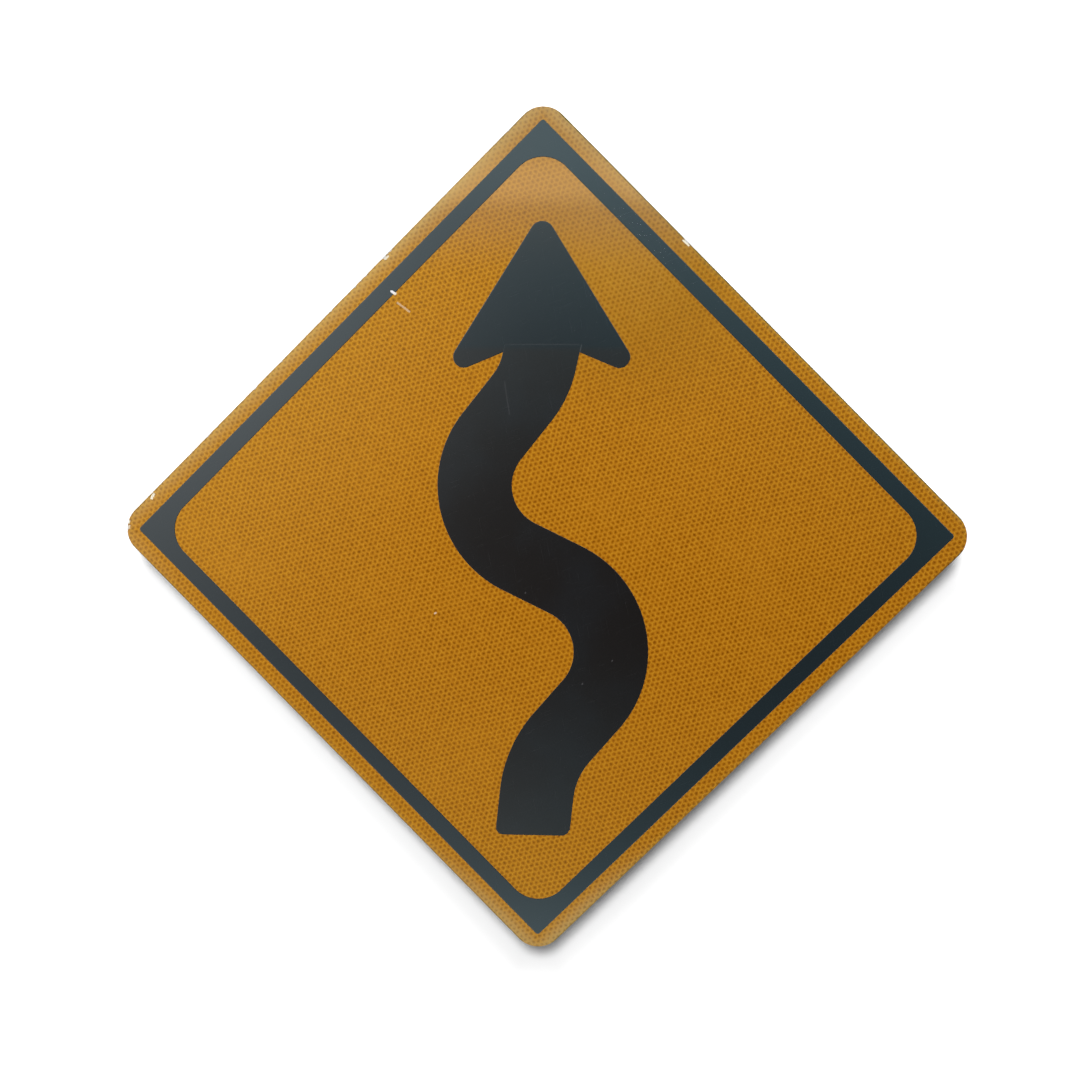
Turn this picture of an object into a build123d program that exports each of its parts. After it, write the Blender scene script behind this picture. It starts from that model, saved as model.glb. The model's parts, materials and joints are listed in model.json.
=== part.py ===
from build123d import *
import os
from math import atan, radians, sin, sqrt, tan

# A winding road warning sign: a square aluminium plate standing on one corner, faced with yellow
# reflective sheeting and a black film legend. Two slotted ribs on its back take the bolts of two
# half bands, which clamp the sign to a round post.
# X runs to the right as seen from the front, Y from the front to the back, and Z up.
# The origin is on the post's axis, level with the plate's centre. Millimetres.

# Plate and sheeting
plate_side = 450.0
plate_corner_radius = 20.0
plate_thickness = 2.0
sheet_thickness = 0.4

# Black film legend
film_thickness = 0.15
border_margin = 12.2  # from the plate's edge to the border
border_width = 12.4
border_outer_radius = 2.0
border_inner_radius = 24.0

# Arrow
arrow_tip_gap = 46.1  # from the border's upper inner corner down to the tip
arrow_foot_gap = 48.0  # from the border's lower inner corner up to the foot
head_length = 123.6  # from the tip to the barbs, taken at their sharp corners
head_span = 154.0  # across the barbs, taken at their sharp corners
head_sweep = 22.6  # degrees by which the barbs' undersides rise towards the stem
tip_radius = 9.0
barb_radius = 8.0
stem_width = 55.0
stem_lap = 5.6  # how far the stem's end reaches up into the head
foot_radius = 6.0
foot_x = -4.6
neck_x = 1.1
# Each bend from the foot up: its corner's place sideways, its share of the stem's height and its radius
stem_bends = [(1.0, 0.152, 78.3), (88.7, 0.432, 59.3), (-81.0, 0.658, 58.2), (-4.9, 0.924, 62.8)]

# Bolts, M8 with a domed head and a square neck
bolt_diameter = 8.0
bolt_head_diameter = 18.0
bolt_head_height = 4.6
bolt_head_rim = 1.0  # the straight rim under the dome
bolt_tip_chamfer = 1.0
thread_past_nut = 9.5
neck_relief = 0.2  # how far the square neck stops below the slot's face

# Washers and nuts
flat_washer_diameter = 17.0
flat_washer_thickness = 1.6
flat_washer_clearance = 0.25  # radial, round the bolt
spring_washer_diameter = 15.4
spring_washer_thickness = 2.0
spring_washer_clearance = 0.15
spring_washer_gap = 1.6
spring_washer_slant = 20.0  # degrees
nut_width = 13.0  # across the flats
nut_height = 6.5
nut_chamfer = 0.9
nut_clearance = 0.05
nut_turns = {"upper_left": 8.0, "upper_right": 41.0, "lower_left": 23.0, "lower_right": 52.0}  # degrees

# Slotted ribs
rib_length = 300.0
rib_spacing = 220.0
rib_wall = 2.5
rib_flange_thickness = 2.0
rib_flange_reach = 10.0
lip_thickness = 3.2
head_side_gap = 3.5  # from the bolt's head to the rib's wall
head_room = 5.2  # under the bolt's head
slot_clearance = 1.0  # the slot's width beyond the square neck's
rib_edge_radius = 1.5
rib_inner_radius = 1.0
lip_edge_radius = 0.5
weld_pitch = 45.0
weld_end_margin = 15.0
weld_radius = 3.0
weld_depth = 0.3

# Half bands round the post
post_diameter = 60.5
band_width = 32.0
band_thickness = 3.2
band_bend_radius = 3.0  # inside the bend between leg and ear
ear_gap = 4.0  # from the rib's face to the ear, so that tightening pulls the band onto the post
ear_reach = 11.5  # from the bolt to the ear's end
ear_corner_radius = 6.0
ear_hole_clearance = 0.5  # radial
washer_gap = 2.0  # from the washer's rim to the band's bend

# Places from the post's axis forwards
post_radius = post_diameter / 2
cavity_width = bolt_head_diameter + 2 * head_side_gap
cavity_depth = bolt_head_height + head_room
slot_width = bolt_diameter + slot_clearance
rib_width = cavity_width + 2 * rib_wall
rib_depth = rib_flange_thickness + cavity_depth + lip_thickness
flange_width = rib_width + 2 * rib_flange_reach
rib_face_y = -post_radius
lip_under_y = rib_face_y - lip_thickness
plate_back_y = rib_face_y - rib_depth
flange_back_y = plate_back_y + rib_flange_thickness
plate_front_y = plate_back_y - plate_thickness
sheet_front_y = plate_front_y - sheet_thickness

# Places along the bolts, from the rib backwards
ear_front_y = rib_face_y + ear_gap
ear_back_y = ear_front_y + band_thickness
spring_washer_y = ear_back_y + flat_washer_thickness
nut_y = spring_washer_y + spring_washer_thickness
bolt_end_y = nut_y + nut_height + thread_past_nut
bolt_x = post_radius + band_thickness + band_bend_radius + washer_gap + flat_washer_diameter / 2
ear_end_x = bolt_x + ear_reach

# Places on the face, from its centre
border_outer_side = plate_side - 2 * border_margin
border_inner_side = border_outer_side - 2 * border_width
border_inner_tip = border_inner_side / sqrt(2) - border_inner_radius * (sqrt(2) - 1)
foot_z = arrow_foot_gap - border_inner_tip
head_half_angle = atan(head_span / 2 / head_length)
sharp_tip_z = border_inner_tip - arrow_tip_gap + tip_radius * (1 / sin(head_half_angle) - 1)
barb_z = sharp_tip_z - head_length
crotch_z = barb_z + (head_span - stem_width) / 2 * tan(radians(head_sweep))
seam_z = crotch_z + stem_lap
stem_height = seam_z - foot_z

same_place = 1e-4  # two coordinates closer than this are one


def diamond(side, radius):
    return RectangleRounded(side, side, radius, rotation=45)


def on_face(sketch, back_y, thickness):
    # A flat piece on the face: its back lies at back_y, and it stands forwards by its thickness
    return extrude(Plane.XZ.offset(-back_y) * sketch, amount=thickness)


def legend(sketch):
    return on_face(sketch, sheet_front_y, film_thickness)


def stem_side(points, radii, offset):
    # One long edge of the stem: the route moved sideways, left of travel where offset is positive.
    # An edge on the inside of a bend has the smaller radius.
    runs = [(end - start).normalized() for start, end in zip(points, points[1:])]
    normals = [run.rotate(Axis.Z, 90) for run in runs]
    edge = [points[0] + normals[0] * offset]
    edge_radii = []
    for corner, radius, before, after, n_before, n_after in zip(
        points[1:], radii, runs, runs[1:], normals, normals[1:]
    ):
        edge.append(corner + (n_before + n_after) * (offset / (1 + n_before.dot(n_after))))
        turns_left = before.cross(after).Z > 0
        edge_radii.append(radius - offset if turns_left else radius + offset)
    edge.append(points[-1] + normals[-1] * offset)
    return FilletPolyline(*edge, radius=edge_radii)


def stem_sketch():
    # The route's ends run on past the foot and the seam, where level cuts end the stem
    corners = [Vector(x, foot_z + share * stem_height) for x, share, radius in stem_bends]
    radii = [radius for x, share, radius in stem_bends]
    foot = Vector(foot_x, foot_z)
    neck = Vector(neck_x, seam_z)
    below = foot + (foot - corners[0]).normalized() * stem_width
    above = neck + (neck - corners[-1]).normalized() * stem_width
    route = [below, *corners, above]
    left = stem_side(route, radii, stem_width / 2)
    right = stem_side(route, radii, -stem_width / 2)
    ribbon = make_face(left + Line(left @ 1, right @ 1) + right + Line(right @ 0, left @ 0))
    window = Pos(0, (foot_z + seam_z) / 2) * Rectangle(plate_side, stem_height)
    stem = ribbon & window
    foot_corners = [v for v in stem.vertices() if abs(v.Y - foot_z) < same_place]
    return fillet(foot_corners, foot_radius)


def head_sketch(stem):
    half = head_span / 2
    corners = [
        (0, sharp_tip_z),
        (half, barb_z),
        (stem_width / 2, crotch_z),
        (-stem_width / 2, crotch_z),
        (-half, barb_z),
    ]
    radii = [tip_radius, barb_radius, 0, 0, barb_radius]
    return make_face(FilletPolyline(*corners, radius=radii, close=True)) - stem


def border_sketch():
    return diamond(border_outer_side, border_outer_radius) - diamond(border_inner_side, border_inner_radius)


def rib_block(back_y, front_y, width):
    # A rectangle of the rib's section, drawn with Y across and Z up
    return Pos((back_y + front_y) / 2, 0) * Rectangle(abs(front_y - back_y), width)


def rounded_at(section, y, half_width, radius):
    corners = [
        v
        for v in section.vertices()
        if abs(v.X - y) < same_place and abs(abs(v.Y) - half_width) < same_place
    ]
    return fillet(corners, radius)


def rib(z):
    section = rib_block(plate_back_y, rib_face_y, rib_width)
    section += rib_block(plate_back_y, flange_back_y, flange_width)
    section -= rib_block(flange_back_y, lip_under_y, cavity_width)
    section -= rib_block(lip_under_y, rib_face_y, slot_width)
    section = rounded_at(section, rib_face_y, rib_width / 2, rib_edge_radius)
    section = rounded_at(section, flange_back_y, rib_width / 2, rib_edge_radius)
    section = rounded_at(section, flange_back_y, cavity_width / 2, rib_inner_radius)
    section = rounded_at(section, lip_under_y, cavity_width / 2, rib_inner_radius)
    section = rounded_at(section, rib_face_y, slot_width / 2, lip_edge_radius)
    bar = extrude(Plane.YZ * section, amount=rib_length / 2, both=True)
    # Spot welds press shallow round dimples into both flanges
    weld_count = int((rib_length - 2 * weld_end_margin) / weld_pitch) + 1
    weld_z = (rib_width + rib_flange_reach) / 2
    dimple = Rot(90, 0, 0) * Cylinder(weld_radius, 2 * weld_depth)
    for place in GridLocations(weld_pitch, 2 * weld_z, weld_count, 2):
        bar -= Pos(place.position.X, flange_back_y, place.position.Y) * dimple
    return Pos(0, 0, z) * bar


def clamp_band(z):
    # The strip's shape seen along the post: half a ring, two legs and two ears bent outwards
    outer_radius = post_radius + band_thickness
    back_half = Pos(0, outer_radius / 2) * Rectangle(2 * outer_radius, outer_radius)
    strip = (Circle(outer_radius) - Circle(post_radius)) & back_half
    leg = Pos(post_radius + band_thickness / 2, ear_front_y / 2) * Rectangle(band_thickness, -ear_front_y)
    ear_length = ear_end_x - post_radius
    ear_y = (ear_front_y + ear_back_y) / 2
    ear = Pos(post_radius + ear_length / 2, ear_y) * Rectangle(ear_length, band_thickness)
    side = leg + ear
    inner_bend = [
        v
        for v in side.vertices()
        if abs(v.X - outer_radius) < same_place and abs(v.Y - ear_back_y) < same_place
    ]
    side = fillet(inner_bend, band_bend_radius)
    outer_bend = [
        v
        for v in side.vertices()
        if abs(v.X - post_radius) < same_place and abs(v.Y - ear_front_y) < same_place
    ]
    side = fillet(outer_bend, band_bend_radius + band_thickness)
    strip += side
    strip += mirror(side, about=Plane.YZ)
    band = extrude(strip, amount=band_width / 2, both=True)
    ear_ends = [e for e in band.edges().filter_by(Axis.Y) if abs(abs(e.center().X) - ear_end_x) < same_place]
    band = fillet(ear_ends, ear_corner_radius)
    hole = Rot(90, 0, 0) * Cylinder(bolt_diameter / 2 + ear_hole_clearance, 2 * band_thickness)
    for side_x in (-bolt_x, bolt_x):
        band -= Pos(side_x, ear_y, 0) * hole
    return Pos(0, 0, z) * band


def along_bolt(x, y, z):
    # A place on a bolt's axis, with the local Z running backwards along the bolt
    return Plane(origin=(x, y, z), x_dir=(1, 0, 0), z_dir=(0, 1, 0))


def ring(outer_diameter, clearance, thickness):
    section = Circle(outer_diameter / 2) - Circle(bolt_diameter / 2 + clearance)
    return extrude(section, amount=thickness)


def bolt():
    # The head's underside is at the local zero, the dome below it and the shank above
    head_radius = bolt_head_diameter / 2
    dome_height = bolt_head_height - bolt_head_rim
    dome_radius = (head_radius**2 + dome_height**2) / (2 * dome_height)
    outline = Polyline((0, -bolt_head_height), (0, 0), (head_radius, 0), (head_radius, -bolt_head_rim))
    outline += RadiusArc((head_radius, -bolt_head_rim), (0, -bolt_head_height), dome_radius)
    head = revolve(Plane.XZ * make_face(outline), Axis.Z)
    neck = extrude(Rectangle(bolt_diameter, bolt_diameter), amount=lip_thickness - neck_relief)
    shank = extrude(Circle(bolt_diameter / 2), amount=bolt_end_y - lip_under_y)
    shank = chamfer(shank.edges().sort_by(Axis.Z)[-1], bolt_tip_chamfer)
    return head + neck + shank


def spring_washer():
    # One turn of square wire, pressed flat, with a slanted slit
    washer = ring(spring_washer_diameter, spring_washer_clearance, spring_washer_thickness)
    slit = Rot(spring_washer_slant, 0, 0) * Box(
        spring_washer_diameter, spring_washer_gap, 3 * spring_washer_thickness
    )
    slit_x = spring_washer_diameter / 2
    return washer - Pos(slit_x, 0, spring_washer_thickness / 2) * slit


def nut(turn):
    corner_radius = nut_width / sqrt(3)
    prism = extrude(RegularPolygon(nut_width / 2, 6, major_radius=False), amount=nut_height)
    turned = extrude(Circle(corner_radius), amount=nut_height)
    turned = chamfer(turned.edges().filter_by(GeomType.CIRCLE), nut_chamfer * tan(radians(30)), nut_chamfer)
    bore = extrude(Circle(bolt_diameter / 2 + nut_clearance), amount=nut_height)
    return Rot(0, 0, turn) * ((prism & turned) - bore)


face_outline = diamond(plate_side, plate_corner_radius)
arrow_stem = stem_sketch()
parts = {
    "sign_plate": on_face(face_outline, plate_back_y, plate_thickness),
    "reflective_sheet": on_face(face_outline, plate_front_y, sheet_thickness),
    "border_frame": legend(border_sketch()),
    "arrow_stem": legend(arrow_stem),
    "arrow_head": legend(head_sketch(arrow_stem)),
}
for level, z in (("upper", rib_spacing / 2), ("lower", -rib_spacing / 2)):
    parts[f"rib_{level}"] = rib(z)
    parts[f"clamp_band_{level}"] = clamp_band(z)
    for hand, x in (("left", -bolt_x), ("right", bolt_x)):
        place = f"{level}_{hand}"
        parts[f"bolt_{place}"] = along_bolt(x, lip_under_y, z) * bolt()
        parts[f"flat_washer_{place}"] = along_bolt(x, ear_back_y, z) * ring(
            flat_washer_diameter, flat_washer_clearance, flat_washer_thickness
        )
        parts[f"spring_washer_{place}"] = along_bolt(x, spring_washer_y, z) * spring_washer()
        parts[f"nut_{place}"] = along_bolt(x, nut_y, z) * nut(nut_turns[place])

os.makedirs("parts", exist_ok=True)
for name, shape in parts.items():
    export_step(shape, f"parts/{name}.step")
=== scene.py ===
import json
from math import atan, cos, pi, radians, sin, sqrt, tan

import bmesh
import bpy
import numpy as np
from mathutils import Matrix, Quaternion, Vector

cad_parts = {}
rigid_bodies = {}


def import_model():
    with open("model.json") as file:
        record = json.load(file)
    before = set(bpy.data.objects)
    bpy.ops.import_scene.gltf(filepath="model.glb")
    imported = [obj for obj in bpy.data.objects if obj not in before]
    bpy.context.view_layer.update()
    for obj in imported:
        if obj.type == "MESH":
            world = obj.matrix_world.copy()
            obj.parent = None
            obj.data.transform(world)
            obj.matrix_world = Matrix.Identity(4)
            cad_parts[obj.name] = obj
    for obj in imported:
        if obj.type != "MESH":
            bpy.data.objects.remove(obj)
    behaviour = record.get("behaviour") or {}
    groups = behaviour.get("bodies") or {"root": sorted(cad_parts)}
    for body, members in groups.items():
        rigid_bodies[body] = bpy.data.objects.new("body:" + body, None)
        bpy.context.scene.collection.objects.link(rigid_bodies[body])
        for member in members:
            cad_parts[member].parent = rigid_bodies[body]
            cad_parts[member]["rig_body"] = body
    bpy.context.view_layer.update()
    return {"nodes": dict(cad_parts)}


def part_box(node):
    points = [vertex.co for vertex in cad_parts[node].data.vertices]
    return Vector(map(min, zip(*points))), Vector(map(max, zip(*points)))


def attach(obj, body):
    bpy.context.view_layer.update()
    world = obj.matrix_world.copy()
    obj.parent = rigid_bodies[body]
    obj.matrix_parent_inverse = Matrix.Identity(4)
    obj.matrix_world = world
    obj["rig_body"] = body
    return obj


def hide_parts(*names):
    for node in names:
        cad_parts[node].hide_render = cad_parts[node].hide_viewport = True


# A winding road sign, dressed: worn plate and honeycomb sheeting, cut black film, and the clamps behind.
# Sizes are millimetres and become metres when a mesh is made. X right, Y backwards, Z up.
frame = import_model()
scene = bpy.context.scene
mm = 0.001


# Shapes

def boxMm(node):
    low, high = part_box(node)
    return np.array(low) / mm, np.array(high) / mm


def diamondOutline(side, radius, arcSteps, runSteps):
    # A square on its corner: quarter-turn arcs about four centres on the axes, joined by straight runs.
    # Gives the points (x, z) and the outward normals, once round.
    quarter = np.arange(4)[:, None] * pi / 2
    angles = quarter + np.linspace(-pi / 4, pi / 4, arcSteps + 1)
    normals = np.stack([np.cos(angles), np.sin(angles)], -1)
    centres = (side / 2 - radius) * sqrt(2) * np.stack([np.cos(quarter), np.sin(quarter)], -1)
    arcs = centres + radius * normals
    share = np.linspace(0, 1, runSteps + 1)[1:-1][None, :, None]
    runs = arcs[:, -1:] * (1 - share) + np.roll(arcs, -1, 0)[:, :1] * share
    runNormals = np.broadcast_to(normals[:, -1:], runs.shape)
    points = np.concatenate([arcs, runs], 1).reshape(-1, 2)
    return points, np.concatenate([normals, runNormals], 1).reshape(-1, 2)


def roundedOutline(corners, radii, arcSteps):
    # A polygon walked anticlockwise with an arc at each corner: the normal turns evenly from one side's
    # to the next side's, about a centre that lies inside a convex corner and outside a hollow one.
    corners = np.array(corners, float)
    radii = np.array(radii, float)[:, None, None]
    sides = np.roll(corners, -1, 0) - corners
    ahead = np.arctan2(sides[:, 1], sides[:, 0])
    behind = np.roll(ahead, 1)
    turn = (ahead - behind + pi) % (2 * pi) - pi
    hand = np.sign(turn)[:, None, None]
    back = radii[:, :, 0] * np.tan(np.abs(turn) / 2)[:, None]
    starts = corners - back * np.stack([np.cos(behind), np.sin(behind)], -1)
    angles = behind[:, None] - pi / 2 + turn[:, None] * np.linspace(0, 1, arcSteps + 1)
    normals = np.stack([np.cos(angles), np.sin(angles)], -1)
    points = starts[:, None] + hand * radii * (normals - normals[:, :1])
    return points.reshape(-1, 2), normals.reshape(-1, 2)


def denser(points, longest):
    # Splits each side of a closed outline into equal steps no longer than the given one
    sides = np.roll(points, -1, 0) - points
    lengths = np.hypot(sides[:, 0], sides[:, 1])
    counts = np.ceil(lengths / longest - 1e-4).astype(int)  # a side of no length drops out
    which = np.repeat(np.arange(len(points)), counts)
    first = np.repeat(np.cumsum(counts) - counts, counts)
    share = (np.arange(len(which)) - first) / counts[which]
    return points[which] + share[:, None] * sides[which]


def traceRoute(corners, radii, step):
    # A line of straight runs and arcs. Its heading changes evenly with length along an arc and stays along
    # a run, so the heading is a broken line over length, and the route is the sum of small steps.
    corners = np.array(corners, float)
    legs = np.diff(corners, axis=0)
    headings = np.arctan2(legs[:, 1], legs[:, 0])
    turns = np.abs(np.diff(headings))
    trims = np.concatenate([[0], np.array(radii) * np.tan(turns / 2), [0]])
    lengths = np.empty(2 * len(legs) - 1)
    lengths[0::2] = np.hypot(legs[:, 0], legs[:, 1]) - trims[:-1] - trims[1:]
    lengths[1::2] = np.array(radii) * turns
    breaks = np.concatenate([[0], np.cumsum(lengths)])
    along = np.linspace(0, breaks[-1], int(breaks[-1] / step) + 1)
    heading = np.interp(along, breaks, np.repeat(headings, 2))
    middle = (heading[1:] + heading[:-1]) / 2
    moves = np.diff(along)[:, None] * np.stack([np.cos(middle), np.sin(middle)], -1)
    places = corners[0] + np.concatenate([[[0, 0]], np.cumsum(moves, 0)])
    return {"along": along, "places": places, "heading": heading, "breaks": breaks}


def onRoute(route, along):
    # Place and heading at any lengths along a route
    first = np.interp(along, route["along"], route["places"][:, 0])
    second = np.interp(along, route["along"], route["places"][:, 1])
    return first, second, np.interp(along, route["along"], route["heading"])


def roundRim(front, back, radius, land, steps):
    # The rim of a flat piece: in from the front by a land, over a quarter-round edge, down the side and
    # over the back edge to the back's land. Gives insets from the outline and depths.
    turn = np.linspace(0, pi / 2, steps + 1)
    inset = radius * (1 - np.sin(turn))
    drop = radius * (1 - np.cos(turn))
    insets = np.concatenate([[land], inset, inset[::-1], [land]])
    return insets, np.concatenate([[front], front + drop, back - drop[::-1], [back]])


def rimRings(points, normals, insets, depths):
    # Each ring is the outline moved inwards by an inset, at one depth
    flat = points[None] - insets.reshape(len(insets), -1, 1) * normals[None]
    level = np.broadcast_to(depths[:, None], flat.shape[:2])
    return np.stack([flat[..., 0], level, flat[..., 1]], -1)


def gridPatch(points, closeRows=False, closeCols=False, caps=False):
    # Neighbours on a grid of points make quads. A closed way joins its last line to its first, and caps
    # close the first and the last row with one flat face each.
    rows, cols = points.shape[:2]
    i = np.arange(rows if closeRows else rows - 1)[:, None]
    j = np.arange(cols if closeCols else cols - 1)[None, :]
    iNext = (i + 1) % rows
    jNext = (j + 1) % cols
    quads = np.stack([i * cols + j, i * cols + jNext, iNext * cols + jNext, iNext * cols + j], -1)
    ring = np.arange(cols)
    ends = [ring, ring + (rows - 1) * cols] if caps else []
    return points.reshape(-1, 3), quads.reshape(-1, 4), ends


def addPiece(name, node, finish, patches, sharpAngle=38.0):
    # Joins patches into one closed mesh, turns its faces outwards and lets it stand for a CAD node
    starts = np.cumsum([0] + [len(points) for points, quads, ends in patches])
    faces = []
    for start, (points, quads, ends) in zip(starts, patches):
        faces += (quads + start).tolist()
        faces += [(end + start).tolist() for end in ends]
    mesh = bpy.data.meshes.new(name)
    places = np.concatenate([points for points, quads, ends in patches]) * mm
    mesh.from_pydata(places.tolist(), [], faces)
    tidy = bmesh.new()
    tidy.from_mesh(mesh)
    bmesh.ops.remove_doubles(tidy, verts=tidy.verts, dist=0.001 * mm)
    bmesh.ops.recalc_face_normals(tidy, faces=tidy.faces)
    tidy.to_mesh(mesh)
    tidy.free()
    mesh.polygons.foreach_set("use_smooth", np.ones(len(mesh.polygons), bool))
    mesh.set_sharp_from_angle(angle=radians(sharpAngle))
    mesh.materials.append(finish)
    piece = bpy.data.objects.new(name, mesh)
    scene.collection.objects.link(piece)
    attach(piece, frame["nodes"][node]["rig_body"])
    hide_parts(node)
    return piece


# Finishes

class Wire:
    # One output socket. Arithmetic on it adds Math nodes.
    def __init__(self, finish, socket):
        self.finish = finish
        self.socket = socket

    def __add__(self, other):
        return self.finish.math("ADD", self, other)

    def __radd__(self, other):
        return self.finish.math("ADD", other, self)

    def __sub__(self, other):
        return self.finish.math("SUBTRACT", self, other)

    def __rsub__(self, other):
        return self.finish.math("SUBTRACT", other, self)

    def __mul__(self, other):
        return self.finish.math("MULTIPLY", self, other)

    def __rmul__(self, other):
        return self.finish.math("MULTIPLY", other, self)

    def __abs__(self):
        return self.finish.math("ABSOLUTE", self)

    def out(self, name):
        return Wire(self.finish, self.socket.node.outputs[name])


class Finish:
    # A node tree being written
    def __init__(self, tree):
        self.tree = tree
        self.tree.nodes.clear()

    def node(self, kind, settings=None, sockets=None, out=0):
        made = self.tree.nodes.new("ShaderNode" + kind)
        for key, value in (settings or {}).items():
            setattr(made, key, value)
        for key, value in (sockets or {}).items():
            if isinstance(value, Wire):
                self.tree.links.new(value.socket, made.inputs[key])
            else:
                made.inputs[key].default_value = value
        return Wire(self, made.outputs[out]) if len(made.outputs) else made

    def math(self, operation, *values):
        return self.node("Math", {"operation": operation}, dict(enumerate(values)))

    def least(self, first, second):
        return self.math("MINIMUM", first, second)

    def most(self, first, second):
        return self.math("MAXIMUM", first, second)

    def length(self, first, second):
        return self.math("SQRT", first * first + second * second)

    def between(self, value, low, high):  # 0 below low, 1 above high, eased
        sockets = {"Value": value, "From Min": low, "From Max": high}
        return self.node("MapRange", {"interpolation_type": "SMOOTHSTEP"}, sockets)

    def within(self, value, low, high):  # 1 below low, 0 above high
        return 1.0 - self.between(value, low, high)

    def blend(self, share, first, second):  # colours: first where the share is 0
        return self.node("Mix", {"data_type": "RGBA"}, {0: share, 6: first, 7: second}, out=2)

    def coats(self, base, layers):  # one coat over another, each where its mask is
        for mask, (share, tone) in layers:
            base = self.blend(mask * share, base, tone)
        return base

    def at(self, x, y, z):
        return self.node("CombineXYZ", None, {0: x, 1: y, 2: z})

    def noise(self, x, y, z, detail=2.0, roughness=0.5):
        sockets = {"Vector": self.at(x, y, z), "Scale": 1.0, "Detail": detail, "Roughness": roughness}
        return self.node("TexNoise", None, sockets)

    def place(self):  # Object coordinates in millimetres
        where = self.node("TexCoord", None, None, "Object")
        parts = self.node("SeparateXYZ", None, {0: where})
        self.x, self.y, self.z = [parts.out(axis) * (1 / mm) for axis in "XYZ"]
        return self.x, self.y, self.z

    def flatNoise(self, size, detail):  # patches of a size on a face that looks along Y
        return self.noise(self.x * (1 / size), self.y, self.z * (1 / size), detail)

    def deepNoise(self, size, detail, roughness=0.5):  # the same on every side
        scaled = [axis * (1 / size) for axis in (self.x, self.y, self.z)]
        return self.noise(*scaled, detail, roughness)

    def bump(self, height, depth):  # depth in millimetres at a height of 1
        return self.node("Bump", None, {"Strength": 1.0, "Distance": depth * mm, "Height": height})

    def surface(self, sockets):
        shader = self.node("BsdfPrincipled", None, sockets)
        self.node("OutputMaterial", None, {"Surface": shader})


def newFinish(name):
    material = bpy.data.materials.new(name)
    material.use_nodes = True
    return material, Finish(material.node_tree)


def colour(red, green, blue):
    return (red, green, blue, 1.0)


markEdge = {
    "raggedRate": 1.3,  # waves of the ragged edge per millimetre
    "ragged": 1.6,  # their reach, and the soft edge's, in half widths
    "soft": (0.6, 1.15),
}


def scratches(f, x, z, way, length, width, rarity, soft=0.06):
    # Noise drawn out along one way, given as shares of x and z, and cut off high leaves thin streaks
    along = x * way[0] + z * way[1]
    across = z * way[0] - x * way[1]
    streak = f.noise(along * (1 / length), across * (1 / width), 3.7, 0.0)
    return f.between(streak, rarity, rarity + soft)


def marksOn(f, x, z, marks):
    # Each mark is a line on the face with a half width: the distance to the line's nearest point, less
    # the half width, tells inside from outside. The strongest mark counts.
    rate = markEdge["raggedRate"]
    ragged = f.noise(x * rate, z * rate, 0.0, 2.0) - 0.5
    softFrom, softTo = markEdge["soft"]
    found = 0.0
    for startX, startZ, endX, endZ, halfWidth, strength in marks:
        runX, runZ = endX - startX, endZ - startZ
        offX, offZ = x - startX, z - startZ
        share = (offX * runX + offZ * runZ) * (1 / (runX * runX + runZ * runZ))
        share = f.most(f.least(share, 1.0), 0.0)
        gap = f.length(offX - share * runX, offZ - share * runZ) + ragged * (markEdge["ragged"] * halfWidth)
        inside = f.within(gap, softFrom * halfWidth, softTo * halfWidth) * strength
        found = f.most(inside, found)
    return found


# In the finishes' dictionaries a pair of a number and a colour is a coat: its share and its colour.

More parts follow.
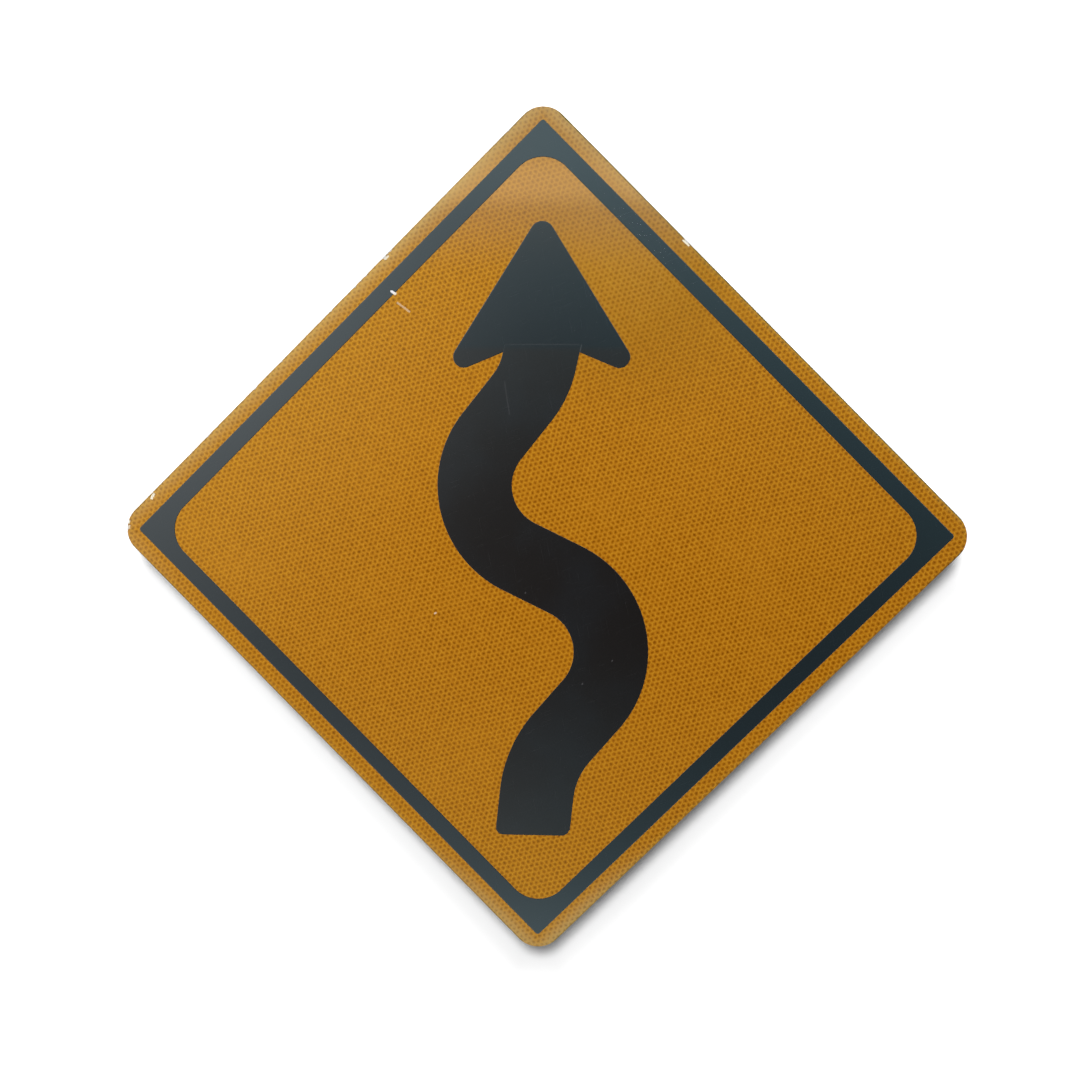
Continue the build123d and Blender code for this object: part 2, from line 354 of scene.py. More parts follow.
sheetingLook = {
    "cellPitch": 3.83,
    "cellTurn": 15.0,  # degrees from level to a row of cells
    "stray": 0.95,  # how far the cells' walls wander
    "strayRate": 0.45,  # wanderings per millimetre
    "wallReach": (0.66, 0.90),  # as shares of the way from a cell's middle to its edge
    "pitReach": (0.14, 0.62),
    "grainSize": 0.60,  # of the glass beads' sparkle
    "patchSize": 1.7,
    "driftSize": 70.0,
    "wall": colour(0.555, 0.243, 0.012),
    "cell": colour(0.395, 0.137, 0.004),
    "pit": colour(0.198, 0.057, 0.000),
    "wallShare": (0.36, 0.40),  # least share of the colour, and by how much it varies
    "pitShare": (0.68, 0.30),
    "deep": (0.12, colour(0.300, 0.096, 0.003)),  # some cells are darker
    "drifts": (0.14, colour(0.530, 0.215, 0.012)),
    # painted sparkle: lighter specks where the glass beads glint
    "sparkleSpecks": (0.30, colour(0.530, 0.215, 0.012)),
    "darkPatch": (0.34, colour(0.250, 0.105, 0.006)),  # darker right of the arrowhead
    "darkPatchAt": (70.0, 187.0),
    "darkPatchReach": (25.0, 125.0),
    "chalk": (0.26, colour(0.240, 0.155, 0.135)),  # painted sheen: greyer and bluer towards the top
    "topSheenFrom": (185.0, 245.0),
    "paintedSheen": (0.20, colour(0.860, 0.490, 0.190)),  # painted sheen: a brighter band under the top corner
    "paintedSheenFrom": (232.0, 252.0),
    "paintedSheenTo": (258.0, 290.0),
    "faded": colour(0.480, 0.350, 0.165),  # sun and weather along the edges
    "fadedReach": (1.0, 15.0),
    "fadedRagged": 6.0,
    "fadedShares": (0.51, 0.47),  # towards the upper left and towards the bottom
    "upperLeft": (90.0, 290.0),
    "bottom": (220.0, 300.0),
    "grime": colour(0.100, 0.050, 0.012),  # darker along the cut edge, most of it at the upper right
    "edgeLineReach": (0.4, 1.5),
    "edgeLineRagged": 1.2,
    "edgeLineShares": (0.42, 0.54, 0.18),  # all round, and more at the upper right and at the lower left
    "edgeLineSides": (150.0, 215.0),
    "bare": colour(0.840, 0.780, 0.640),
    "sparkle": colour(1.0, 0.90, 0.15),  # what the beads under the surface send back
    "roughness": 0.15,
    "coat": 0.18,
    "marks": [  # from x, z to x, z, half width, strength
        (-291.0, 23.2, -289.6, 26.0, 1.1, 1.0),
        (102.5, 213.1, 106.5, 209.4, 0.7, 1.0),
        (-308.6, 4.6, -308.2, 5.8, 0.8, 0.9),
        (-308.5, 0.8, -308.2, 2.2, 0.9, 0.7),
        (-115.4, 200.1, -113.2, 201.9, 0.9, 0.8),
        (-110.1, 176.6, -107.9, 174.8, 1.1, 1.0),
        (-106.1, 168.1, -97.4, 161.7, 0.8, 0.3),
        (-78.0, -60.8, -77.2, -60.2, 0.7, 0.5),
    ],
}


def makeSheeting(look, halfSide):
    # Honeycomb: two square-cornered lattices, one in the gaps of the other. A point belongs to the nearer
    # centre, by the distance whose level lines are hexagons.
    material, f = newFinish("yellow honeycomb sheeting")
    x, y, z = f.place()
    turn = radians(look["cellTurn"])
    wide = look["cellPitch"]
    tall = wide * sqrt(3)
    where = f.at(x * look["strayRate"], y, z * look["strayRate"])
    stray = f.node("TexNoise", None, {"Vector": where, "Scale": 1.0, "Detail": 1.0}, "Color")
    stray = f.node("SeparateColor", None, {0: stray})
    u = x * cos(turn) + z * sin(turn) + (stray - 0.5) * (2 * look["stray"])
    v = z * cos(turn) - x * sin(turn) + (stray.out("Green") - 0.5) * (2 * look["stray"])

    def lattice(shift):  # the nearest cell's column and row, and how far off its middle is
        column = f.math("ROUND", u * (1 / wide) - shift) + shift
        row = f.math("ROUND", v * (1 / tall) - shift) + shift
        offU = abs(u - column * wide)
        offV = abs(v - row * tall)
        return column, row, f.most(offU, offU * 0.5 + offV * (sqrt(3) / 2))

    columnA, rowA, reachA = lattice(0.0)
    columnB, rowB, reachB = lattice(0.5)
    isA = f.math("LESS_THAN", reachA, reachB)
    reach = f.least(reachA, reachB) * (2 / wide)  # 0 at a cell's middle, 1 on its wall
    cellName = f.at(columnB + (columnA - columnB) * isA, rowB + (rowA - rowB) * isA, 0.0)
    chance = f.node("TexWhiteNoise", {"noise_dimensions": "2D"}, {"Vector": cellName})
    wall = f.between(reach, *look["wallReach"])
    pit = f.within(reach, *look["pitReach"])
    grain = f.flatNoise(look["grainSize"], 1.0)
    drift = f.flatNoise(look["driftSize"], 2.0)
    patchy = f.flatNoise(look["patchSize"], 1.0)
    dullX, dullZ = look["darkPatchAt"]
    # darker round a point right of the arrowhead
    darkPatch = f.within(f.length(x - dullX, z - dullZ), *look["darkPatchReach"])
    # painted sheen: a brighter band across the top, under the top corner
    paintedSheen = f.between(z, *look["paintedSheenFrom"]) * f.within(z, *look["paintedSheenTo"])
    edge = halfSide - (abs(x) + abs(z)) * sqrt(0.5)
    fading = f.within(edge + (patchy - 0.5) * look["fadedRagged"], *look["fadedReach"])
    atUpperLeft, atBottom = look["fadedShares"]
    toUpperLeft = f.between(z * 0.8 - x * 0.6, *look["upperLeft"])
    toBottom = f.between(0.0 - z, *look["bottom"])
    fading = fading * (atUpperLeft * toUpperLeft + atBottom * toBottom) * (1.0 - pit * 0.35)
    toUpperRight = (x + z) * sqrt(0.5)
    onEdge = f.within(edge + (patchy - 0.5) * look["edgeLineRagged"], *look["edgeLineReach"])
    allRound, atUpperRight, atLowerLeft = look["edgeLineShares"]
    grime = allRound + atUpperRight * f.between(toUpperRight, *look["edgeLineSides"])
    grime = grime + atLowerLeft * f.between(0.0 - toUpperRight, *look["edgeLineSides"])
    worn = marksOn(f, x, z, look["marks"])
    pitLeast, pitMore = look["pitShare"]
    wallLeast, wallMore = look["wallShare"]
    base = f.blend(pit * (chance * pitMore + pitLeast), look["cell"], look["pit"])
    base = f.blend(wall * (f.between(patchy, 0.25, 0.7) * wallMore + wallLeast), base, look["wall"])
    base = f.coats(base, [
        (f.between(chance, 0.75, 1.0), look["deep"]),
        (f.between(drift, 0.5, 0.8), look["drifts"]),
        (f.between(grain, 0.55, 0.85), look["sparkleSpecks"]),
        (darkPatch, look["darkPatch"]),
        # painted sheen: greyer and bluer towards the top
        (f.between(z, *look["topSheenFrom"]), look["chalk"]),
        (paintedSheen, look["paintedSheen"]),
    ])
    base = f.blend(fading, base, look["faded"])
    # a dark line along the cut edge, most of it at the upper right and the lower left
    base = f.blend(onEdge * grime, base, look["grime"])
    base = f.blend(worn, base, look["bare"])
    f.surface({
        "Base Color": base,
        "Roughness": look["roughness"] + (grain - 0.5) * 0.1 + worn * 0.4,
        "Specular IOR Level": 0.8,
        "Specular Tint": look["sparkle"],
        "Coat Weight": (1.0 - worn) * look["coat"],
        "Coat Roughness": 0.06,
        "Normal": f.bump(wall * 0.6 + grain * 0.25 - worn * 2.0, 0.006),
    })
    return material


filmLook = {
    "black": colour(0.0080, 0.0042, 0.0031),
    "faded": colour(0.0090, 0.0070, 0.0075),
    "head": colour(0.0042, 0.0052, 0.0072),  # painted reflection: a bluish sky tint on the arrowhead's film and the border's
    "headFrom": 6.0,  # below the seam
    "headTo": (40.0, 100.0),  # above it
    # painted reflection: the border's bluish sky tint
    "border": colour(0.0105, 0.0147, 0.0177),
    "borderFrom": 188.0,  # square to an edge
    "bare": colour(0.80, 0.78, 0.80),
    "dust": 0.015,  # shares of the bare colour
    "scuffs": 0.010,
    "fadedSize": 60.0,
    "peelSize": 0.9,
    "dustSize": 0.6,
    "scratches": [((0.93, 0.37), 18.0, 0.12, 0.79), ((0.2, -0.98), 26.0, 0.15, 0.80)],
    "roughness": 0.14,
    "marks": [
        (-110.4, 176.4, -108.2, 174.6, 1.0, 1.0),
        (-27.0, 110.6, -23.2, 86.8, 0.55, 0.017),
        (-25.8, 138.0, 27.5, 138.0, 0.45, 0.020),  # painted highlight: a faint pale line along the seam under the head
        (31.7, -111.8, 32.0, -111.4, 0.5, 0.06),
        (53.6, -94.4, 53.9, -94.0, 0.5, 0.06),
        (-10.9, -44.8, -10.5, -44.5, 0.5, 0.06),
    ],
}


def makeFilm(look, seamZ):
    # Glossy black, faded in wide patches and with a painted bluish reflection on head and border, under
    # dust, fine scuffs and marks
    material, f = newFinish("black cut film")
    x, y, z = f.place()
    fading = f.flatNoise(look["fadedSize"], 3.0)
    peel = f.flatNoise(look["peelSize"], 1.0)
    dust = f.between(f.flatNoise(look["dustSize"], 0.0), 0.80, 0.86)
    scuffs = f.most(*[scratches(f, x, z, *kind) for kind in look["scratches"]])
    worn = marksOn(f, x, z, look["marks"])
    aboveSeam = z - seamZ
    onHead = f.between(aboveSeam, -look["headFrom"], 0.0) * f.within(aboveSeam, *look["headTo"])
    onBorder = f.math("GREATER_THAN", (abs(x) + abs(z)) * sqrt(0.5), look["borderFrom"])
    base = f.blend(f.between(fading, 0.4, 0.75), look["black"], look["faded"])
    # painted reflection: a bluish sky tint on the arrowhead and the border
    base = f.blend(onHead, base, look["head"])
    base = f.blend(onBorder, base, look["border"])
    base = f.blend(dust * look["dust"] + scuffs * look["scuffs"], base, look["bare"])
    base = f.blend(worn, base, look["bare"])
    f.surface({
        "Base Color": base,
        "Roughness": look["roughness"] + (fading - 0.5) * 0.06 + scuffs * 0.15 + worn * 0.4,
        "Coat Weight": 1.0 - worn,
        "Coat Roughness": 0.06,
        "Normal": f.bump(peel * 0.5 - scuffs * 0.8 - worn * 2.0, 0.002),
    })
    return material


plateFinishLook = {
    "metal": colour(0.60, 0.61, 0.62),
    "clouds": (0.75, colour(0.44, 0.45, 0.455)),
    "lines": (0.25, colour(0.44, 0.45, 0.455)),
    "chalk": (0.50, colour(0.66, 0.665, 0.66)),
    "streaks": (0.55, colour(0.34, 0.335, 0.32)),
    "scratched": (0.60, colour(0.82, 0.825, 0.83)),
    "darkRim": colour(0.17, 0.165, 0.15),  # darker at the rim
    "primed": (0.90, colour(0.68, 0.64, 0.59)),  # the front under the sheeting
    "cloudSize": 85.0,
    "chalkSize": 3.4,
    "lineSize": (160.0, 0.35),  # along and across the rolling
    "streakSize": (5.5, 120.0),
    "streakReach": (15.0, 110.0),  # below a rib
    "streakWidth": (140.0, 160.0),
    "scratches": [((0.8, 0.6), 45.0, 0.22, 0.74), ((0.97, -0.24), 30.0, 0.25, 0.76)],
    "roughness": 0.36,
    "ribReach": 25.0,  # the flange's half width, below which rain leaves streaks
}


def makePlateMetal(look, halfSide, ribHeights, backY):
    # Rolled sheet: fine lines along one edge, chalky patches, old scratches and rain streaks under the ribs
    material, f = newFinish("mill aluminium plate")
    x, y, z = f.place()
    along = (x + z) * sqrt(0.5)
    across = (z - x) * sqrt(0.5)
    lineLength, lineWidth = look["lineSize"]
    lines = f.noise(along * (1 / lineLength), across * (1 / lineWidth), y, 2.0)
    clouds = f.flatNoise(look["cloudSize"], 4.0)
    spots = f.between(f.flatNoise(look["chalkSize"], 2.0), 0.66, 0.74)
    rolled, level = look["scratches"]
    old = f.most(scratches(f, along, across, *rolled), scratches(f, x, z, *level))
    streakWidth, streakLength = look["streakSize"]
    runs = f.between(f.noise(x * (1 / streakWidth), y, z * (1 / streakLength), 2.0), 0.48, 0.72)
    rain = 0.0
    for height in ribHeights:
        drop = (height - look["ribReach"]) - z
        rain = f.most(f.between(drop, 0.0, 2.0) * f.within(drop, *look["streakReach"]), rain)
    rain = rain * runs * f.within(abs(x), *look["streakWidth"])
    edge = halfSide - (abs(x) + abs(z)) * sqrt(0.5)
    rim = f.within(edge + (spots - 0.5) * 0.6, 0.2, 1.2)
    front = f.within(y, backY - 1.2, backY - 0.8)
    # darker round the rim
    darkRim = rim * (0.5 + 0.3 * clouds)
    base = f.coats(look["metal"], [
        (f.between(clouds, 0.35, 0.7), look["clouds"]),
        (lines, look["lines"]),
        (spots, look["chalk"]),
        (rain, look["streaks"]),
        (old, look["scratched"]),
    ])
    base = f.blend(darkRim, base, look["darkRim"])
    base = f.coats(base, [(front * f.between(edge, 0.2, 0.8), look["primed"])])
    f.surface({
        "Base Color": base,
        "Metallic": (1.0 - spots * 0.5 - rain * 0.3) * (1.0 - f.most(darkRim, front)),
        "Roughness": look["roughness"] + clouds * 0.16 + (lines - 0.5) * 0.16 + spots * 0.25 + rain * 0.15,
        "Normal": f.bump(lines * 0.35 - old * 1.2 + spots * 0.6, 0.02),
    })
    return material


ribFinishLook = {
    "metal": colour(0.64, 0.645, 0.65),
    "clouds": (0.80, colour(0.50, 0.505, 0.51)),
    "lines": (0.30, colour(0.50, 0.505, 0.51)),
    "specks": (0.40, colour(0.40, 0.40, 0.395)),
    "burnt": (0.75, colour(0.20, 0.165, 0.13)),
    "pressed": colour(0.78, 0.78, 0.78),
    "lineSize": (220.0, 0.5),  # along and across the bar
    "cloudSize": (40.0, 25.0),
    "speckSize": 1.6,
    "scratches": ((0.9, 0.43), 14.0, 0.2, 0.76),
    "roughness": 0.33,
}


def makeRibMetal(look, rib, ribHeight, faceY):
    # Extruded bar: die lines along its length, and each weld has a pressed middle and a burnt ring
    material, f = newFinish("extruded aluminium rib")
    x, y, z = f.place()

    def drawnOut(length, width):  # noise longer along the bar than across it
        return f.noise(x * (1 / length), y * (1 / width), z * (1 / width), 3.0)

    lines = drawnOut(*look["lineSize"])
    clouds = drawnOut(*look["cloudSize"])
    offX = x - f.math("ROUND", x * (1 / rib["weldPitch"])) * rib["weldPitch"]
    offZ = abs(abs(z) - ribHeight) - rib["weldRow"]
    gap = f.length(offX, offZ) + (f.noise(x * 0.6, y, z * 0.6, 2.0) - 0.5) * 1.4
    fromRim = gap - rib["weldRadius"]
    onFlange = f.within(y, faceY + 0.2, faceY + 0.8)
    pressed = f.within(fromRim, -0.7, 0.0) * onFlange
    burnt = f.between(fromRim, -0.5, 0.2) * onFlange * f.within(fromRim, 0.3, 2.4)
    scuffs = scratches(f, x, z, *look["scratches"])
    specks = f.between(f.deepNoise(look["speckSize"], 2.0), 0.68, 0.76)
    base = f.coats(look["metal"], [
        (f.between(clouds, 0.35, 0.75), look["clouds"]),
        (lines, look["lines"]),
        (specks, look["specks"]),
        (burnt, look["burnt"]),
    ])
    base = f.blend(f.most(pressed * 0.7, scuffs * 0.5), base, look["pressed"])
    f.surface({
        "Base Color": base,
        "Metallic": 1.0 - specks * 0.4,
        "Roughness": look["roughness"] + clouds * 0.14 + (lines - 0.5) * 0.2 + specks * 0.2 - pressed * 0.08,
        "Normal": f.bump(lines * 0.8 - scuffs, 0.02),
    })
    return material


bandFinishLook = {
    "bright": colour(0.60, 0.62, 0.635),
    "grey": colour(0.34, 0.355, 0.37),
    "chalk": (0.55, colour(0.62, 0.63, 0.63)),
    "spangle": 6.5,  # size of the zinc's crystals
    "bendSize": 4.0,  # of their crooked edges
    "fernSize": 0.8,
    "bloomSize": 16.0,
    "lumpSize": 2.2,
    "roughness": 0.36,
}


def makeZincCoat(look):
    # Hot-dip zinc: flat crystals, each with its own brightness and polish, under a patchy chalky bloom
    material, f = newFinish("galvanised band")
    x, y, z = f.place()
    bend = (f.deepNoise(look["bendSize"], 2.0) - 0.5) * 0.5
    size = 1 / look["spangle"]
    where = f.at(x * size + bend, y * size + bend, z * size)
    crystal = f.node("TexVoronoi", {"feature": "F1"}, {"Vector": where, "Scale": 1.0}, "Color")
    shade = f.node("SeparateColor", None, {0: crystal})
    rate = 1 / look["fernSize"]
    fern = f.noise(x * rate + shade * 40.0, y * rate, z * rate + shade * 23.0, 2.0)
    bloom = f.between(f.deepNoise(look["bloomSize"], 4.0, 0.6), 0.50, 0.72)
    lumps = f.deepNoise(look["lumpSize"], 2.0)
    base = f.blend(shade * 0.75 + fern * 0.2, look["bright"], look["grey"])
    base = f.coats(base, [(bloom, look["chalk"])])
    f.surface({
        "Base Color": base,
        "Metallic": 1.0 - bloom * 0.45,
        "Roughness": look["roughness"] + shade.out("Green") * 0.16 + bloom * 0.2 + (fern - 0.5) * 0.08,
        "Normal": f.bump(shade * 0.3 + lumps * 0.8 + bloom * 0.3, 0.03),
    })
    return material


fastenerFinishLook = {
    "zinc": colour(0.66, 0.655, 0.62),
    "blue": (0.70, colour(0.52, 0.565, 0.62)),
    "roots": (0.80, colour(0.075, 0.068, 0.058)),
    "grime": (0.35, colour(0.075, 0.068, 0.058)),
    "rust": (0.70, colour(0.24, 0.105, 0.04)),
    "blueSize": 7.0,
    "grimeSize": 2.5,
    "rustSize": 1.1,
    "fineSize": 0.3,
    "cleanTip": (0.9, 0.4),  # from a bolt's end
    "roughness": 0.27,
}


def makeFastenerZinc(look, bolt, boltX, ribHeight, tipY):
    # Bright plating: a faint blue cast in places, grime in the thread's roots and a few rust freckles.
    # The four bolts stand at mirrored places, so one distance from a bolt's axis serves them all.
    material, f = newFinish("zinc plated steel")
    x, y, z = f.place()
    fromAxis = f.length(abs(x) - boltX, abs(z) - ribHeight)
    root = f.within(fromAxis, bolt["radius"] - bolt["threadDepth"], bolt["radius"])
    root = root * f.within(y, *[tipY - reach for reach in look["cleanTip"]])
    cast = f.deepNoise(look["blueSize"], 2.0)
    patchy = f.deepNoise(look["grimeSize"], 3.0)
    freckles = f.between(f.deepNoise(look["rustSize"], 3.0), 0.67, 0.75)
    fine = f.deepNoise(look["fineSize"], 1.0)
    base = f.coats(look["zinc"], [
        (f.between(cast, 0.4, 0.7), look["blue"]),
        (root, look["roots"]),
        (f.between(patchy, 0.58, 0.75), look["grime"]),
        (freckles, look["rust"]),
    ])
    f.surface({
        "Base Color": base,
        "Metallic": 1.0 - freckles * 0.8 - root * 0.4,
        "Roughness": look["roughness"] + patchy * 0.2 + freckles * 0.3 + root * 0.2,
        "Normal": f.bump(fine * 0.5 + freckles, 0.012),
    })
    return material


# The plate and its sheeting

plateLook = {
    "halfSide": 225.0,  # from the middle to an edge, for the finishes
    "cornerRadius": 20.0,
    "edgeRadius": 0.45,
    "edgeSteps": 4,
    "land": 2.5,
    "arcSteps": 24,
    "runSteps": 80,
}
sheetLook = {
    "setBack": 0.12,  # from the plate's edge
    "edgeRadius": 0.12,
    "edgeSteps": 3,
    "land": 4.5,
    "arcSteps": 48,
    "runStep": 0.8,
    "chips": [  # x, z, half length along the edge, depth of bite
        (-310.0, 5.4, 1.4, 1.3),
        (-310.6, 0.6, 1.6, 1.5),
        (-116.2, 201.5, 1.7, 1.5),
        (-129.8, 188.3, 1.3, 0.9),
        (-138.1, 180.0, 1.4, 0.9),
        (-248.4, 69.9, 2.0, 0.7),
        (105.5, 212.8, 2.6, 1.3),
        (-212.5, 105.5, 1.6, 0.9),
        (-192.9, 125.2, 1.4, 0.8),
    ],
    "nicks": 26,  # small ones along the upper left edge
    "nickSpan": ((-298.0, 20.0), (-20.0, 298.0)),
    "otherNicks": 44,
    "nickLengths": (0.7, 2.2),
    "nickDepths": (0.4, 1.0),  # as shares of the deepest, before they are cubed
    "deepestNicks": (1.0, 0.4),  # at the upper left and elsewhere
    "seed": 11,
}


def plateSide(reach, radius):
    # From the height of a rounded corner over the middle back to the sharp square's side
    return sqrt(2) * (reach + radius * (sqrt(2) - 1))


def bites(points, places, halfLengths, depths):
    # How far the outline is eaten away: each place bites to its depth and fades with distance from it
    gaps = np.linalg.norm(points[:, None] - places[None], axis=-1)
    return np.max(depths * np.exp(-((gaps / halfLengths) ** 2)), axis=1)


def makePlate(look, finish):
    # The square's outline carried over a rounded rim, with a flat face on each side
    low, high = boxMm("sign_plate")
    side = plateSide(high[0], look["cornerRadius"])
    points, normals = diamondOutline(side, look["cornerRadius"], look["arcSteps"], look["runSteps"])
    insets, depths = roundRim(low[1], high[1], look["edgeRadius"], look["land"], look["edgeSteps"])
    rings = rimRings(points, normals, insets, depths)
    patch = gridPatch(rings, closeCols=True, caps=True)
    return addPiece("deburred_plate", "sign_plate", finish, [patch])


def makeSheet(look, plate, finish):
    # The plate's outline, set back a little and eaten away by chips and nicks, carried over its thin rim
    low, high = boxMm("reflective_sheet")
    side = plateSide(high[0], plate["cornerRadius"]) - 2 * look["setBack"]
    radius = plate["cornerRadius"] - look["setBack"]
    runSteps = int((side - 2 * radius) / look["runStep"])
    points, normals = diamondOutline(side, radius, look["arcSteps"], runSteps)
    draw = np.random.default_rng(look["seed"])
    chips = np.array(look["chips"])
    start, end = np.array(look["nickSpan"])
    nicks = start + draw.random((look["nicks"], 1)) * (end - start)
    others = points[draw.integers(0, len(points), look["otherNicks"])]
    places = np.concatenate([chips[:, :2], nicks, others])
    small = len(nicks) + len(others)
    halfLengths = np.append(chips[:, 2], draw.uniform(*look["nickLengths"], small))
    deepest = np.repeat(look["deepestNicks"], [len(nicks), len(others)])
    nickDepths = draw.uniform(*look["nickDepths"], small) ** 3 * deepest
    eaten = bites(points, places, halfLengths, np.append(chips[:, 3], nickDepths))
    insets, depths = roundRim(low[1], high[1], look["edgeRadius"], look["land"], look["edgeSteps"])
    rings = rimRings(points, normals, insets[:, None] + eaten[None], depths)
    patch = gridPatch(rings, closeCols=True, caps=True)
    return addPiece("honeycomb_sheeting", "reflective_sheet", finish, [patch])


# The black film: border, winding stem and arrowhead, cut to their outlines

borderLook = {
    "width": 12.4,
    "outerRadius": 2.0,
    "innerRadius": 24.0,
    "arcSteps": 40,
    "runSteps": 60,
}
stemLook = {
    "width": 55.0,
    "footX": -4.6,
    "neckX": 1.1,
    "footRadius": 6.0,
    # each bend from the foot up: its corner sideways, its share of the stem's height and its radius
    "bends": [(1.0, 0.152, 78.3), (88.7, 0.432, 59.3), (-81.0, 0.658, 58.2), (-4.9, 0.924, 62.8)],
    "steps": 260,
    "routeStep": 0.2,
    "edgeSteps": [0.2, 0.35, 1.2, 2.0, 3.0, 4.0, 5.5, 9.0, 15.0],  # from an edge towards the middle
    "seamGap": 0.01,  # the head's film stops this far above the stem's
}
headLook = {
    "length": 123.6,
    "span": 154.0,
    "sweep": 22.6,
    "tipRadius": 9.0,
    "barbRadius": 8.0,
    "cutRadius": 0.4,
    "seamRadius": 0.1,
    "arcSteps": 12,
}
filmEdge = {"radius": 0.05, "land": 0.4, "steps": 2}


def filmRim(front, back):
    # The rim of a piece of film: only its front edge is rounded, by the cutting blade
    steps = filmEdge["steps"]
    insets, depths = roundRim(front, back, filmEdge["radius"], filmEdge["land"], steps)
    return np.append(insets[:steps + 2], 0), np.append(depths[:steps + 2], back)


def makeBorder(look, finish):
    # Two outlines, one inside the other, with a strip of film between them
    low, high = boxMm("border_frame")
    middle = (low + high) / 2
    outerSide = plateSide(high[0] - middle[0], look["outerRadius"])
    innerSide = outerSide - 2 * look["width"]
    steps = look["arcSteps"], look["runSteps"]
    insets, depths = filmRim(low[1], high[1])
    outerRings = rimRings(*diamondOutline(outerSide, look["outerRadius"], *steps), insets, depths)
    innerRings = rimRings(*diamondOutline(innerSide, look["innerRadius"], *steps), -insets, depths)
    rings = np.concatenate([outerRings[::-1], innerRings])
    rings += np.array([middle[0], 0, middle[2]])
    patch = gridPatch(rings, closeRows=True, closeCols=True)
    return addPiece("border_film", "border_frame", finish, [patch])


def stemRoute(look, footZ, seamZ):
    # The stem's middle line, run on past both ends by its own width
    corners = np.array([(x, footZ + share * (seamZ - footZ)) for x, share, radius in look["bends"]])
    foot = np.array([look["footX"], footZ])
    neck = np.array([look["neckX"], seamZ])
    below = foot + look["width"] * (foot - corners[0]) / np.linalg.norm(foot - corners[0])
    above = neck + look["width"] * (neck - corners[-1]) / np.linalg.norm(neck - corners[-1])
    radii = [radius for x, share, radius in look["bends"]]
    return traceRoute([below, *corners, above], radii, look["routeStep"])


def makeStem(look, centre, finish):
    # The film's section carried along the middle line. Near the foot and the seam each thread of the
    # section is shortened or drawn out so that the ends are level and the foot's corners are round.
    low, high = boxMm("arrow_stem")
    footZ, seamZ = low[2] - centre[2], high[2] - centre[2]
    route = stemRoute(look, footZ, seamZ)
    half = look["width"] / 2
    insets, depths = filmRim(low[1], high[1])
    steps = np.sort(np.append(look["edgeSteps"], half))
    right = np.concatenate([insets[:0:-1], np.sort(np.append(steps, filmEdge["land"]))])
    rightDepths = np.append(depths[:0:-1], np.full(len(steps) + 1, low[1]))
    across = np.concatenate([right - half, half - right[-2::-1]])
    depth = np.concatenate([rightDepths, rightDepths[-2::-1]])
    footHeading, neckHeading = route["heading"][0], route["heading"][-1]
    radius = look["footRadius"]
    overhang = np.clip(np.abs(across) - (half - radius), 0, radius)
    rounding = radius - np.sqrt(radius**2 - overhang**2)
    startShift = (rounding - across * cos(footHeading)) / sin(footHeading)
    endShift = -across * cos(neckHeading) / sin(neckHeading)
    total = route["breaks"][-1]
    start, end = look["width"], total - look["width"]
    firstRun, lastRun = route["breaks"][1] - start, end - route["breaks"][-2]
    base = np.linspace(start, end, look["steps"] + 1)[:, None]
    along = base + startShift * np.clip(1 - (base - start) / firstRun, 0, 1)
    along = along + endShift * np.clip(1 - (end - base) / lastRun, 0, 1)
    x, z, heading = onRoute(route, along)
    x = centre[0] + x - across * np.sin(heading)
    z = centre[2] + z + across * np.cos(heading)
    front = np.stack([x, np.broadcast_to(depth, x.shape), z], -1)
    back = np.stack([x, np.full(x.shape, high[1]), z], -1)
    ends = [gridPatch(np.stack([front[row], back[row]])) for row in (0, -1)]
    patches = [gridPatch(front), gridPatch(back), *ends]
    addPiece("winding_stem_film", "arrow_stem", finish, patches)
    return route


def sideAt(route, half, level):
    # Where a side of the stem, near its neck, crosses a level
    x, z = route["places"][-1]
    heading = route["heading"][-1]
    x, z = x - half * sin(heading), z + half * cos(heading)
    return x - (z - level) / tan(heading)


def makeHead(look, stem, route, centre, finish):
    # The arrowhead's outline, hollowed at the bottom round the stem's end
    low, high = boxMm("arrow_head")
    halfAngle = atan(look["span"] / 2 / look["length"])
    tipZ = high[2] - centre[2] + look["tipRadius"] * (1 / sin(halfAngle) - 1)
    barbZ = tipZ - look["length"]
    seamZ = boxMm("arrow_stem")[1][2] - centre[2] + stem["seamGap"]
    half = stem["width"] / 2
    barbX = look["span"] / 2
    rise = tan(radians(look["sweep"]))
    slope = 1 / tan(route["heading"][-1])  # of the stem's sides, sideways per height

    def cuts(hand):  # where the barb's underside and the seam meet the stem's side
        seamX = sideAt(route, hand * half, seamZ)
        under = -hand
        crotchZ = (barbZ + rise * (barbX - under * (seamX - slope * seamZ))) / (1 + rise * under * slope)
        return (seamX + slope * (crotchZ - seamZ), crotchZ), (seamX, seamZ)

    leftCrotch, leftSeam = cuts(1)
    rightCrotch, rightSeam = cuts(-1)
    corners = [(0, tipZ), (-barbX, barbZ), leftCrotch, leftSeam, rightSeam, rightCrotch, (barbX, barbZ)]
    barb, cut, seam = look["barbRadius"], look["cutRadius"], look["seamRadius"]
    radii = [look["tipRadius"], barb, cut, seam, seam, cut, barb]
    points, normals = roundedOutline(corners, radii, look["arcSteps"])
    insets, depths = filmRim(low[1], high[1])
    rings = rimRings(points, normals, insets, depths) + np.array([centre[0], 0, centre[2]])
    patch = gridPatch(rings, closeCols=True, caps=True)
    return addPiece("arrowhead_film", "arrow_head", finish, [patch])


# The ribs

